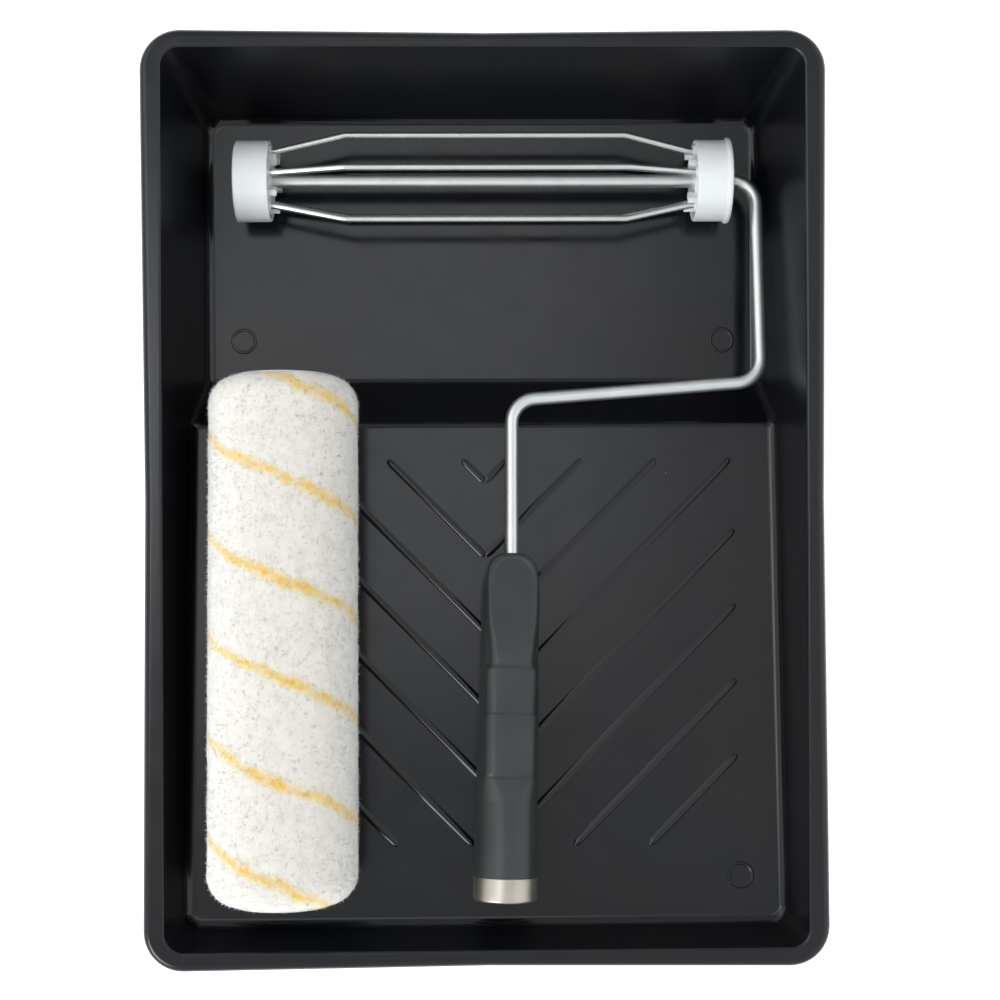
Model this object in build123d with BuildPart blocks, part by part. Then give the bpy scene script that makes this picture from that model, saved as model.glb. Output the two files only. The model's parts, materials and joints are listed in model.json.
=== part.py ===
# Paint tray set: a moulded tray, a five-wire cage roller frame lying in it, and a loose sleeve.
# Millimetres. +Z is up, +X runs across the tray, +Y runs towards its deep well.
# The origin is under the middle of the tray, on the surface that the tray stands on.
from build123d import *
import os
from math import atan, cos, radians, sin

# Tray
TRAY_WIDTH = 292.4
TRAY_LENGTH = 400.0
SIDE_DRAW = 1.7
END_DRAW = 1.5
RIM_HEIGHT = 70.0
RIM_CORNER_RADIUS = 17.0
RIM_EDGE_RADIUS = 3.2
INNER_EDGE_RADIUS = 1.2
SKIRT_DEPTH = 9.0
SKIRT_THICKNESS = 1.8
TRAY_WALL = 2.0
MOUTH_DEEP_END = 192.0
MOUTH_SHALLOW_END = -191.4
MOUTH_HALF_WIDTH = 136.9
FLOOR_HALF_WIDTH = 127.0
WELL_END = 176.0
WELL_START = 54.5
RAMP_TOP = (33.5, 28.0)
RAMP_FOOT = (-187.6, 40.0)
CORNER_RADIUS = 8.0
FLOOR_RADIUS = 4.5
STEP_RADIUS = 4.0

# Chevron ribs, witness marks and legs of the tray
RIB_COUNT = 8
RIB_PITCH = 33.3
RIB_FIRST_APEX = 7.6
RIB_WIDTH = 2.2
RIB_HEIGHT = 1.2
RIB_REACH = 111.6
RIB_FIELD = (-153.3, 17.8)
MARK_RADIUS = 5.5
MARK_HEIGHT = 0.25
WELL_MARK = (110.5, 73.5)
RAMP_MARK = (112.5, -167.0)
LEG_RADIUS = 7.0
LEG_WALL = 2.0

# Roller frame
CLEARANCE = 0.3
RUNNING_CLEARANCE = 0.05
ROD_RADIUS = 3.0
ROD_BEND_RADIUS = 11.0
AXLE_Y = 143.3
AXLE_END = -108.2
FRAME_TILT = 6.1
ROD_CORNERS = [(122.8, 143.3), (123.4, 52.1), (12.2, 43.8), (11.6, -24.0)]
ROD_IN_HANDLE = 44.0
CRIMP_LENGTH = 4.6
CRIMP_SPREAD = (3.6, 2.5)

# Cage
CAP_RADIUS = 18.1
CAP_WALL = 1.8
LEFT_CAP = (-110.7, -95.3)
RIGHT_CAP = (94.9, 111.0)
FLANGE_RADIUS = 19.1
FLANGE_THICKNESS = 2.8
HUB_LENGTH = 10.1
HUB_RECESS = 4.0
HUB_NOSE = 0.6
HUB_CORE_RADIUS = 11.0
BOSS_RADIUS = 2.8
TAB_LENGTH = 3.0
TAB_WIDTH = 2.7
TAB_RADII = (10.0, 14.2)
LEFT_TAB_PHASE = 38.0
RIGHT_TAB_PHASE = -17.0
WIRE_COUNT = 5
WIRE_RADIUS = 1.5
WIRE_PHASE = 11.0
WIRE_HUB_RADIUS = 13.0
WIRE_CAGE_RADIUS = 20.3
WIRE_SHOULDERS = (-63.0, 64.0)
WIRE_BEND_RADIUS = 8.0
WIRE_SOCKET_DEPTH = 8.0
WASHER_RADIUS = 6.5
WASHER_THICKNESS = 0.8
NUT_RADIUS = 5.6
NUT_SLOTS = 6
NUT_SLOT_LENGTH = 3.0
NUT_SLOT_WIDTH = 0.8

# Handle: each section is its distance behind the nose, width, depth and roundness
HANDLE_SECTIONS = [
    (0.0, 7.0, 7.0, 0.9),
    (0.8, 10.6, 9.4, 0.87),
    (2.2, 14.6, 12.2, 0.84),
    (4.5, 19.0, 15.0, 0.8),
    (7.5, 22.4, 17.0, 0.78),
    (12.0, 24.6, 18.4, 0.78),
    (20.0, 25.2, 18.8, 0.8),
    (34.0, 25.2, 19.2, 0.88),
    (47.0, 25.2, 20.0, 0.92),
    (52.0, 25.6, 21.0, 0.95),
    (70.0, 26.4, 22.4, 0.95),
    (96.0, 26.8, 23.4, 0.95),
    (103.0, 27.0, 24.6, 0.97),
    (114.0, 27.1, 26.4, 0.98),
    (122.0, 27.2, 27.1, 0.98),
    (139.6, 27.3, 27.3, 0.98),
]
FACE_START = 5.0
FACE_END = (46.0, 9.6)
HANDLE_LENGTH = 150.0
HANDLE_LEAN = 1.6
HANDLE_ROLL = 8.0
FERRULE_LENGTH = 10.4
FERRULE_RADIUS = 13.8
FERRULE_WALL = 0.8
SOCKET_RADIUS = 9.5
SOCKET_LENGTH = 30.0

# Sleeve
SLEEVE_LENGTH = 229.0
SLEEVE_X = -86.4
SLEEVE_MIDDLE = -60.4
CORE_RADII = (19.2, 20.7)
PILE_RADIUS = 32.2
PILE_END_RADIUS = 9.0

ramp_slope = (RAMP_FOOT[1] - RAMP_TOP[1]) / (RAMP_TOP[0] - RAMP_FOOT[0])
ramp_tilt = atan(ramp_slope)
ramp_normal = (0, sin(ramp_tilt), cos(ramp_tilt))
ramp_plane = Plane(origin=(0, *RAMP_TOP), x_dir=(1, 0, 0), z_dir=ramp_normal)

axle_z = TRAY_WALL + WIRE_CAGE_RADIUS + WIRE_RADIUS + CLEARANCE
tilt = radians(FRAME_TILT)
frame_plane = Plane(origin=(0, AXLE_Y, axle_z), x_dir=(1, 0, 0), z_dir=(0, sin(tilt), cos(tilt)))
rod_corners = [(x, (y - AXLE_Y) / cos(tilt)) for x, y in ROD_CORNERS]


def on_ramp(x, y):
    """The ramp plane's own coordinates of the ramp point above (x, y)."""
    return (x, (y - RAMP_TOP[0]) / cos(ramp_tilt))


def along_axle(x):
    """The plane square to the axle at x, looking along +X."""
    return Plane(origin=(x, AXLE_Y, axle_z), x_dir=(0, 1, 0), z_dir=(1, 0, 0))


def along_handle(distance):
    """The plane square to the handle, a distance behind the tip of its nose, rolled as its thumb face is."""
    lean = radians(HANDLE_LEAN)
    roll = radians(HANDLE_ROLL)
    level = frame_plane.x_dir * cos(lean) - frame_plane.y_dir * sin(lean)
    across = level * cos(roll) - frame_plane.z_dir * sin(roll)
    back = frame_plane.x_dir * -sin(lean) - frame_plane.y_dir * cos(lean)
    nose = frame_plane.from_local_coords(Vector(*rod_corners[-1], 0))
    return Plane(origin=nose + back * distance, x_dir=across, z_dir=back)


# ---- Tray ----

def vessel(wall):
    """The space inside the tray's walls, grown outwards by the wall's thickness."""
    side_draft = (MOUTH_HALF_WIDTH - FLOOR_HALF_WIDTH) / (RIM_HEIGHT - TRAY_WALL)
    deep_draft = (MOUTH_DEEP_END - WELL_END) / (RIM_HEIGHT - TRAY_WALL)
    shallow_draft = (RAMP_FOOT[0] - MOUTH_SHALLOW_END) / (RIM_HEIGHT - RAMP_FOOT[1])
    above = 20.0
    top = RIM_HEIGHT + above
    side_top = MOUTH_HALF_WIDTH + side_draft * above
    side_bottom = FLOOR_HALF_WIDTH - side_draft * above
    with BuildPart() as space:
        with BuildSketch(Plane.YZ):
            with BuildLine():
                Polyline(
                    (MOUTH_DEEP_END + deep_draft * above, top),
                    (WELL_END, TRAY_WALL),
                    (WELL_START, TRAY_WALL),
                    RAMP_TOP,
                    RAMP_FOOT,
                    (MOUTH_SHALLOW_END - shallow_draft * above, top),
                    close=True,
                )
            make_face()
            offset(amount=wall, kind=Kind.INTERSECTION, mode=Mode.REPLACE)
            middle = vertices().group_by(Axis.X)
            fillet([v for group in middle[2:4] for v in group], STEP_RADIUS)
        extrude(amount=TRAY_WIDTH, both=True)
        with BuildSketch(Plane.XZ):
            with BuildLine():
                Polyline(
                    (side_top, top),
                    (-side_top, top),
                    (-side_bottom, TRAY_WALL - above),
                    (side_bottom, TRAY_WALL - above),
                    close=True,
                )
            make_face()
            offset(amount=wall, kind=Kind.INTERSECTION, mode=Mode.REPLACE)
        extrude(amount=TRAY_LENGTH, both=True, mode=Mode.INTERSECT)
        upright = edges().filter_by(lambda e: e.length > 20).filter_by(is_upright)
        fillet(upright, CORNER_RADIUS + wall)
        bottom = faces().filter_by(lambda f: f.normal_at().Z < -0.3)
        rim_of_bottom = bottom.edges().filter_by(lambda e: sum(e in f.edges() for f in bottom) == 1)
        fillet(rim_of_bottom, FLOOR_RADIUS + wall)
    return space.part


def is_upright(edge):
    """True for an edge that climbs steeply, such as a corner between two walls."""
    return abs((edge @ 1 - edge @ 0).normalized().Z) > 0.9


outside = vessel(TRAY_WALL)
inside = vessel(0)

with BuildSketch() as rim_outline:
    half_width, half_length = TRAY_WIDTH / 2, TRAY_LENGTH / 2
    with BuildLine():
        Polyline(
            (-half_width, -half_length),
            (0, END_DRAW - half_length),
            (half_width, -half_length),
            (half_width - SIDE_DRAW, 0),
            (half_width, half_length),
            (0, half_length - END_DRAW),
            (-half_width, half_length),
            (SIDE_DRAW - half_width, 0),
            close=True,
        )
    make_face()
    fillet([v for v in vertices() if abs(v.X) == half_width], RIM_CORNER_RADIUS)

with BuildPart() as tray:
    skirt_plane = Plane.XY.offset(RIM_HEIGHT - SKIRT_DEPTH)
    with BuildSketch(skirt_plane):
        add(rim_outline.sketch)
    extrude(amount=SKIRT_DEPTH)
    fillet(faces().sort_by(Axis.Z)[-1].edges(), RIM_EDGE_RADIUS)
    with BuildSketch(skirt_plane):
        add(rim_outline.sketch)
        offset(amount=-SKIRT_THICKNESS, mode=Mode.REPLACE)
    extrude(amount=SKIRT_DEPTH - TRAY_WALL, mode=Mode.SUBTRACT)
    with BuildSketch(Plane.XY):
        with Locations((-RAMP_MARK[0], RAMP_MARK[1]), RAMP_MARK):
            Circle(LEG_RADIUS)
            Circle(LEG_RADIUS - LEG_WALL, mode=Mode.SUBTRACT)
    extrude(amount=RIM_HEIGHT / 2 + LEG_RADIUS)
    add(outside.split(Plane.XY.offset(RIM_HEIGHT), keep=Keep.BOTTOM))
    add(inside, mode=Mode.SUBTRACT)
    mouth = edges().filter_by(lambda e: abs(e.center().Z - RIM_HEIGHT) < 0.01)
    fillet(mouth, INNER_EDGE_RADIUS)
    with BuildSketch(ramp_plane.offset(-TRAY_WALL / 2)):
        for rib in range(RIB_COUNT):
            apex = RIB_FIRST_APEX - RIB_PITCH * rib
            start = max(0, RIB_FIELD[0] - apex)
            end = min(RIB_REACH, RIB_FIELD[1] - apex)
            middle = (start + end) / 2
            for side in (-1, 1):
                with Locations(on_ramp(side * middle, apex + middle)):
                    SlotCenterToCenter((end - start) * 2**0.5, RIB_WIDTH, rotation=side * 45)
    extrude(amount=RIB_HEIGHT + TRAY_WALL / 2)
    with BuildSketch(ramp_plane.offset(-TRAY_WALL / 2)):
        with Locations(on_ramp(-RAMP_MARK[0], RAMP_MARK[1]), on_ramp(*RAMP_MARK)):
            Circle(MARK_RADIUS)
    extrude(amount=MARK_HEIGHT + TRAY_WALL / 2)
    with BuildSketch(Plane.XY.offset(TRAY_WALL / 2)):
        with Locations((-WELL_MARK[0], WELL_MARK[1]), WELL_MARK):
            Circle(MARK_RADIUS)
    extrude(amount=MARK_HEIGHT + TRAY_WALL / 2)

# ---- Roller frame: rod, crimps, washers and push nut ----

with BuildPart() as frame_rod:
    with BuildLine(frame_plane) as route:
        lean = radians(HANDLE_LEAN)
        nose_x, nose_y = rod_corners[-1]
        tail = (nose_x - ROD_IN_HANDLE * sin(lean), nose_y - ROD_IN_HANDLE * cos(lean))
        FilletPolyline((AXLE_END, 0), *rod_corners, tail, radius=ROD_BEND_RADIUS)
    with BuildSketch(along_axle(AXLE_END)):
        Circle(ROD_RADIUS)
    sweep(path=route.wires()[0])
    chamfer(faces().sort_by(Axis.X)[0].edges(), ROD_RADIUS / 6)
    with BuildSketch(along_axle(RIGHT_CAP[1] + CLEARANCE + WASHER_THICKNESS)):
        Ellipse(*CRIMP_SPREAD)
    extrude(amount=CRIMP_LENGTH)

left_hub_face = LEFT_CAP[1] - HUB_LENGTH
right_hub_face = RIGHT_CAP[1] - CAP_WALL
left_washer_x = left_hub_face - CLEARANCE - WASHER_THICKNESS

with BuildPart() as left_push_nut:
    with BuildSketch(along_axle(left_washer_x - WASHER_THICKNESS)):
        Circle(NUT_RADIUS)
        Circle(ROD_RADIUS, mode=Mode.SUBTRACT)
        with PolarLocations(ROD_RADIUS, NUT_SLOTS):
            Rectangle(NUT_SLOT_LENGTH, NUT_SLOT_WIDTH, mode=Mode.SUBTRACT)
    extrude(amount=WASHER_THICKNESS)

with BuildPart() as left_washer:
    with BuildSketch(along_axle(left_washer_x)):
        Circle(WASHER_RADIUS)
        Circle(ROD_RADIUS, mode=Mode.SUBTRACT)
    extrude(amount=WASHER_THICKNESS)

with BuildPart() as right_washer:
    with BuildSketch(along_axle(RIGHT_CAP[1] + CLEARANCE)):
        Circle(WASHER_RADIUS)
        Circle(ROD_RADIUS, mode=Mode.SUBTRACT)
    extrude(amount=WASHER_THICKNESS)

# ---- Handle: moulded grip with a pole socket in its end, and a pressed ferrule over that end ----

with BuildPart() as handle_grip:
    for distance, width, depth, roundness in HANDLE_SECTIONS:
        with BuildSketch(along_handle(distance)):
            RectangleRounded(width, depth, min(width, depth) / 2 * roundness)
    loft(ruled=True)
    with BuildSketch(along_handle(HANDLE_LENGTH - FERRULE_LENGTH)):
        Circle(FERRULE_RADIUS - FERRULE_WALL)
    extrude(amount=FERRULE_LENGTH - FERRULE_WALL)
    nose = along_handle(0)
    thumb_side = Plane(origin=nose.origin, x_dir=nose.z_dir, z_dir=nose.x_dir)
    with BuildSketch(thumb_side):
        with BuildLine():
            Polyline((-1, -FACE_START), (FACE_END[0], -FACE_END[1]), (-1, -2 * FACE_END[1]), close=True)
        make_face()
    extrude(amount=FERRULE_RADIUS, both=True, mode=Mode.SUBTRACT)
    with BuildSketch(along_handle(HANDLE_LENGTH - FERRULE_WALL)):
        Circle(SOCKET_RADIUS)
    extrude(amount=-SOCKET_LENGTH, mode=Mode.SUBTRACT)
    with BuildSketch(along_handle(-1)):
        Circle(ROD_RADIUS)
    extrude(amount=ROD_IN_HANDLE + 1, mode=Mode.SUBTRACT)

with BuildPart() as handle_ferrule:
    with BuildSketch(along_handle(HANDLE_LENGTH - FERRULE_LENGTH)):
        Circle(FERRULE_RADIUS)
    extrude(amount=FERRULE_LENGTH)
    fillet(edges().group_by(Axis(along_handle(0).origin, along_handle(0).z_dir))[-1], FERRULE_WALL)
    with BuildSketch(along_handle(HANDLE_LENGTH - FERRULE_LENGTH)):
        Circle(FERRULE_RADIUS - FERRULE_WALL)
    extrude(amount=FERRULE_LENGTH - FERRULE_WALL, mode=Mode.SUBTRACT)
    with BuildSketch(along_handle(HANDLE_LENGTH)):
        Circle(SOCKET_RADIUS + FERRULE_WALL)
    extrude(amount=-FERRULE_WALL, mode=Mode.SUBTRACT)

# ---- Cage: two cups, two hubs that run on the rod, and five sprung wires ----

with BuildPart() as left_end_cap:
    with BuildSketch(along_axle(LEFT_CAP[0])):
        Circle(CAP_RADIUS)
    extrude(amount=LEFT_CAP[1] - LEFT_CAP[0])
    fillet(faces().sort_by(Axis.X)[0].edges(), CAP_WALL / 2)
    with BuildSketch(along_axle(LEFT_CAP[0] + CAP_WALL)):
        Circle(CAP_RADIUS - CAP_WALL)
    extrude(until=Until.LAST, mode=Mode.SUBTRACT)
    fillet(faces().sort_by(Axis.X)[-1].edges(), CAP_WALL / 5)

with BuildPart() as right_end_cap:
    with BuildSketch(along_axle(RIGHT_CAP[0])):
        Circle(CAP_RADIUS)
    extrude(amount=RIGHT_CAP[1] - RIGHT_CAP[0])
    with BuildSketch(along_axle(RIGHT_CAP[1])):
        Circle(FLANGE_RADIUS)
    extrude(amount=-FLANGE_THICKNESS)
    fillet(faces().sort_by(Axis.X)[-1].edges(), CAP_WALL / 2)
    with BuildSketch(along_axle(right_hub_face)):
        Circle(CAP_RADIUS - CAP_WALL)
    extrude(amount=RIGHT_CAP[0] - right_hub_face, mode=Mode.SUBTRACT)
    with BuildSketch(along_axle(RIGHT_CAP[1])):
        Circle(ROD_RADIUS + CLEARANCE)
    extrude(amount=-CAP_WALL, mode=Mode.SUBTRACT)
    fillet(faces().sort_by(Axis.X)[0].edges(), CAP_WALL / 5)


def hub(face_x, mouth_x, tab_phase):
    """A hub that fills a cup from face_x to its mouth and holds the wires; tabs stand out between them."""
    inward = 1 if mouth_x > face_x else -1
    disc_length = abs(mouth_x - face_x) - HUB_RECESS
    with BuildPart() as body:
        with BuildSketch(along_axle(face_x)):
            Circle(CAP_RADIUS - CAP_WALL)
        extrude(amount=inward * disc_length)
        with BuildSketch(along_axle(face_x + inward * disc_length)):
            Circle(HUB_CORE_RADIUS)
            with PolarLocations(WIRE_HUB_RADIUS, WIRE_COUNT, start_angle=WIRE_PHASE):
                Circle(BOSS_RADIUS)
        extrude(amount=inward * (HUB_RECESS + HUB_NOSE))
        with BuildSketch(along_axle(face_x + inward * disc_length)):
            with PolarLocations(sum(TAB_RADII) / 2, WIRE_COUNT, start_angle=WIRE_PHASE + tab_phase):
                Rectangle(TAB_RADII[1] - TAB_RADII[0], TAB_WIDTH)
        extrude(amount=inward * (HUB_RECESS + HUB_NOSE + TAB_LENGTH))
        with BuildSketch(along_axle(face_x)):
            Circle(ROD_RADIUS + RUNNING_CLEARANCE)
        extrude(amount=inward * 2 * CAP_RADIUS, mode=Mode.SUBTRACT)
        with BuildSketch(along_axle(mouth_x + inward * HUB_NOSE)):
            with PolarLocations(WIRE_HUB_RADIUS, WIRE_COUNT, start_angle=WIRE_PHASE):
                Circle(WIRE_RADIUS)
        extrude(amount=-inward * WIRE_SOCKET_DEPTH, mode=Mode.SUBTRACT)
    return body.part


def wire(angle):
    """A wire in the axle's radial plane at this angle, bowed out between its two sockets."""
    outwards = (0, cos(radians(angle)), sin(radians(angle)))
    sideways = (0, -sin(radians(angle)), cos(radians(angle)))
    left_mouth = LEFT_CAP[1] + HUB_NOSE
    right_mouth = RIGHT_CAP[0] - HUB_NOSE
    left_end = left_mouth - WIRE_SOCKET_DEPTH
    with BuildPart() as bar:
        with BuildLine(Plane(origin=(0, AXLE_Y, axle_z), x_dir=(1, 0, 0), z_dir=sideways)) as route:
            FilletPolyline(
                (left_end, WIRE_HUB_RADIUS),
                (left_mouth + WIRE_RADIUS, WIRE_HUB_RADIUS),
                (WIRE_SHOULDERS[0], WIRE_CAGE_RADIUS),
                (WIRE_SHOULDERS[1], WIRE_CAGE_RADIUS),
                (right_mouth - WIRE_RADIUS, WIRE_HUB_RADIUS),
                (right_mouth + WIRE_SOCKET_DEPTH, WIRE_HUB_RADIUS),
                radius=WIRE_BEND_RADIUS,
            )
        with BuildSketch(Plane(origin=route.wires()[0] @ 0, x_dir=outwards, z_dir=(1, 0, 0))):
            Circle(WIRE_RADIUS)
        sweep(path=route.wires()[0])
    return bar.part


# ---- Sleeve: pile fabric on a stiff core, lying on the ramp's ribs ----

sleeve_height = RIB_HEIGHT + CLEARANCE + PILE_RADIUS
ramp_at_sleeve = ramp_plane.from_local_coords(Vector(*on_ramp(SLEEVE_X, SLEEVE_MIDDLE), sleeve_height))
sleeve_middle = Plane(origin=ramp_at_sleeve, x_dir=(1, 0, 0), z_dir=ramp_plane.y_dir)

with BuildPart() as sleeve_core:
    with BuildSketch(sleeve_middle):
        Circle(CORE_RADII[1])
        Circle(CORE_RADII[0], mode=Mode.SUBTRACT)
    extrude(amount=SLEEVE_LENGTH / 2, both=True)

with BuildPart() as sleeve_pile:
    with BuildSketch(sleeve_middle):
        Circle(PILE_RADIUS)
    extrude(amount=SLEEVE_LENGTH / 2, both=True)
    fillet(edges(), PILE_END_RADIUS)
    with BuildSketch(sleeve_middle):
        Circle(CORE_RADII[1])
    extrude(amount=SLEEVE_LENGTH, both=True, mode=Mode.SUBTRACT)

# ---- Export ----

pieces = {
    "tray": tray.part,
    "frame_rod": frame_rod.part,
    "left_push_nut": left_push_nut.part,
    "left_washer": left_washer.part,
    "right_washer": right_washer.part,
    "handle_grip": handle_grip.part,
    "handle_ferrule": handle_ferrule.part,
    "left_end_cap": left_end_cap.part,
    "right_end_cap": right_end_cap.part,
    "left_hub": hub(left_hub_face, LEFT_CAP[1], LEFT_TAB_PHASE),
    "right_hub": hub(right_hub_face, RIGHT_CAP[0], RIGHT_TAB_PHASE),
    "sleeve_core": sleeve_core.part,
    "sleeve_pile": sleeve_pile.part,
}
for number in range(WIRE_COUNT):
    pieces[f"cage_wire_{number + 1}"] = wire(WIRE_PHASE + 360 / WIRE_COUNT * number)

os.makedirs("parts", exist_ok=True)
for name, piece in pieces.items():
    piece.label = name
    export_step(piece, f"parts/{name}.step")
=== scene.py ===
"""Paint tray set: a moulded tray, the wire-cage roller frame that lies in it and its striped sleeve.

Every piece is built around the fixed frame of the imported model, in metres.
"""
import json
import math

import bmesh
import bpy
from bpy.props import FloatProperty, IntProperty, PointerProperty
from mathutils import Euler, Matrix, Vector


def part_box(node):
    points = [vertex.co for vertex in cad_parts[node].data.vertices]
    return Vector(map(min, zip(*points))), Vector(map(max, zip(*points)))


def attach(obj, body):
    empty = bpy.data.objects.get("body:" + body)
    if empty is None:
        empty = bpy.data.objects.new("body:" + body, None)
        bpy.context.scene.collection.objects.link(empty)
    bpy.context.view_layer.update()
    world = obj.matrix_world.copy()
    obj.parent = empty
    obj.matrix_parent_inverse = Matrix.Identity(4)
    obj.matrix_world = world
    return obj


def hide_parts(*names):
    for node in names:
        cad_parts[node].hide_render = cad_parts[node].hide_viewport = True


bl_info = {
    "name": "Paint Tray Set",
    "version": (1, 0, 0),
    "blender": (4, 5, 0),
    "location": "View3D > Sidebar > Paint Tray",
    "description": "Builds a paint tray with its roller frame and sleeve around a fixed frame",
    "category": "Object",
}

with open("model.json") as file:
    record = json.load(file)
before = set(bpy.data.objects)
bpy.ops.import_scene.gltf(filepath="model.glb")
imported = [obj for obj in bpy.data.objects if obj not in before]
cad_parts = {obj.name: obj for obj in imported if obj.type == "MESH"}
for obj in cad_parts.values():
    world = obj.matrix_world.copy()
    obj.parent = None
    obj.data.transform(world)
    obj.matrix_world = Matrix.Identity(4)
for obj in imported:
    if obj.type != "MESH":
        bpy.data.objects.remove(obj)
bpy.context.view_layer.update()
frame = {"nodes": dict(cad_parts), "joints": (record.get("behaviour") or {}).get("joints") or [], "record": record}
MM = 0.001
MOUNTS = {mount["name"]: mount for mount in frame["record"]["mounts"]}
AXLE = Vector(next(joint["pos_m"] for joint in frame["joints"] if joint["name"] == "cage_spin"))
UP = Vector((0, 0, 1))
ACROSS = Vector((1, 0, 0))
BORE = MOUNTS["sleeve_bore"]
SOCKET = MOUNTS["pole_socket"]
HANDLE_BACK = Vector(SOCKET["axis"]).normalized()
FRAME_NORMAL = HANDLE_BACK.cross(ACROSS).normalized()
FRAME_DOWN = ACROSS.cross(FRAME_NORMAL)


# ---- Small helpers ----

def linear(code):
    """An sRGB hex colour, such as "#1a1b1c", as linear red, green and blue with a full alpha."""
    parts = [int(code[i:i + 2], 16) / 255 for i in (1, 3, 5)]
    return [c / 12.92 if c <= 0.04045 else ((c + 0.055) / 1.055) ** 2.4 for c in parts] + [1.0]


def add_node(tree, kind, inputs=None, stops=(), **settings):
    """Adds a node, sets its properties and colour stops, and sets or links its inputs by name or number.

    An input takes a value, a socket, or a node whose first output is linked. A stop is a position with a
    hex colour or a grey value.
    """
    node = tree.nodes.new(kind)
    for key, value in settings.items():
        setattr(node, key, value)
    elements = node.color_ramp.elements if stops else []
    while len(elements) < len(stops):
        elements.new(0.5)
    for element, (position, colour) in zip(elements, stops):
        element.position = position
        element.color = linear(colour) if isinstance(colour, str) else (colour, colour, colour, 1)
    for key, value in (inputs or {}).items():
        if isinstance(value, bpy.types.Node):
            value = value.outputs[0]
        if isinstance(value, bpy.types.NodeSocket):
            tree.links.new(value, node.inputs[key])
        else:
            node.inputs[key].default_value = value
    return node


def worked(tree, value, *steps):
    """A value taken through steps of sums, each an operation and its further values."""
    for operation, *others in steps:
        inputs = dict(enumerate([value, *others]))
        value = add_node(tree, "ShaderNodeMath", inputs, operation=operation)
    return value


def grains(where, size, detail, roughness=0.5):
    """The inputs of a noise texture whose grains are this many millimetres across."""
    return {"Vector": where, "Scale": 1 / size, "Detail": detail, "Roughness": roughness}


def mottled(tree, stops, *pattern):
    """Noise, as given to grains(), taken through colour or grey stops."""
    noise = add_node(tree, "ShaderNodeTexNoise", grains(*pattern))
    return add_node(tree, "ShaderNodeValToRGB", {"Fac": noise}, stops)


def relief(tree, depth, *pattern):
    """Noise, as given to grains(), as a bump of this many millimetres."""
    noise = add_node(tree, "ShaderNodeTexNoise", grains(*pattern))
    return add_node(tree, "ShaderNodeBump", {"Height": noise, "Distance": depth * MM})


def coordinates(tree, axes):
    """Object coordinates in millimetres, along a matrix's axes."""
    back = axes.inverted()
    return add_node(tree, "ShaderNodeMapping", {
        "Vector": add_node(tree, "ShaderNodeTexCoord").outputs["Object"],
        "Location": back.to_translation() / MM,
        "Rotation": back.to_euler(),
        "Scale": (1 / MM,) * 3,
    })


def new_material(name, axes=Matrix()):
    """A material, its empty node tree, and its coordinates along a matrix's axes."""
    material = bpy.data.materials.new(name)
    material.use_nodes = True
    tree = material.node_tree
    tree.nodes.clear()
    return material, tree, coordinates(tree, axes)


def shaded(material, inputs):
    """The material, ended in a Principled shader with these inputs."""
    tree = material.node_tree
    shader = add_node(tree, "ShaderNodeBsdfPrincipled", inputs)
    add_node(tree, "ShaderNodeOutputMaterial", {"Surface": shader})
    return material


def new_object(name, data):
    """An object linked to the scene."""
    piece = bpy.data.objects.new(name, data)
    bpy.context.scene.collection.objects.link(piece)
    return piece


def mesh_object(name, vertices, faces):
    """A smooth mesh object at the origin from plain vertices and faces."""
    mesh = bpy.data.meshes.new(name)
    mesh.from_pydata([tuple(v) for v in vertices], [], faces)
    mesh.validate()
    mesh.shade_smooth()
    return new_object(name, mesh)


def edited(mesh, change):
    """Changes a mesh through a BMesh."""
    bm = bmesh.new()
    bm.from_mesh(mesh)
    change(bm)
    bm.to_mesh(mesh)
    bm.free()


def mark_sharp(mesh, degrees):
    """Shades a mesh smooth, and its edges above this angle sharp."""
    def mark(bm):
        for face in bm.faces:
            face.smooth = True
        for edge in bm.edges:
            edge.smooth = not (edge.is_manifold and edge.calc_face_angle() > math.radians(degrees))

    edited(mesh, mark)


def place(origin, along):
    """The matrix that puts local +Z along a direction at an origin, with local +Y as near up as it can be."""
    z = Vector(along).normalized()
    x = UP.cross(z)
    x = x.normalized() if x.length > 1e-6 else ACROSS.copy()
    y = z.cross(x)
    matrix = Matrix((x, y, z)).transposed().to_4x4()
    matrix.translation = Vector(origin)
    return matrix


def lathe(name, outline, matrices, segments=96, sharp=40):
    """Turns a closed outline of (radius, height) in millimetres about the local Z of each matrix."""
    vertices, faces = [], []
    count = len(outline)
    for matrix in matrices:
        first = len(vertices)
        for step in range(segments):
            angle = 2 * math.pi * step / segments
            for radius, height in outline:
                point = Vector((radius * math.cos(angle), radius * math.sin(angle), height)) * MM
                vertices.append(matrix @ point)
            here, there = first + step * count, first + (step + 1) % segments * count
            for i in range(count):
                j = (i + 1) % count
                faces.append((here + i, there + i, there + j, here + j))
    piece = mesh_object(name, vertices, faces)
    outward(piece)
    mark_sharp(piece.data, sharp)
    return piece


def outward(piece):
    """Points a closed mesh's faces outwards."""
    edited(piece.data, lambda bm: bmesh.ops.recalc_face_normals(bm, faces=bm.faces))


def rounded(corners, steps=5):
    """A closed outline from (x, y, radius) corners, each turned into an arc."""
    outline = []
    count = len(corners)
    for i, (x, y, radius) in enumerate(corners):
        here = Vector((x, y))
        before = (Vector(corners[i - 1][:2]) - here).normalized()
        after = (Vector(corners[(i + 1) % count][:2]) - here).normalized()
        if radius <= 0:
            outline.append((x, y))
            continue
        half = before.angle(after) / 2
        reach = radius / math.tan(half)
        centre = here + (before + after).normalized() * radius / math.sin(half)
        first = here + before * reach - centre
        last = here + after * reach - centre
        turn = first.angle_signed(last)
        for step in range(steps + 1):
            spot = centre + Matrix.Rotation(-turn * step / steps, 2) @ first
            outline.append((spot.x, spot.y))
    return outline


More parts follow.
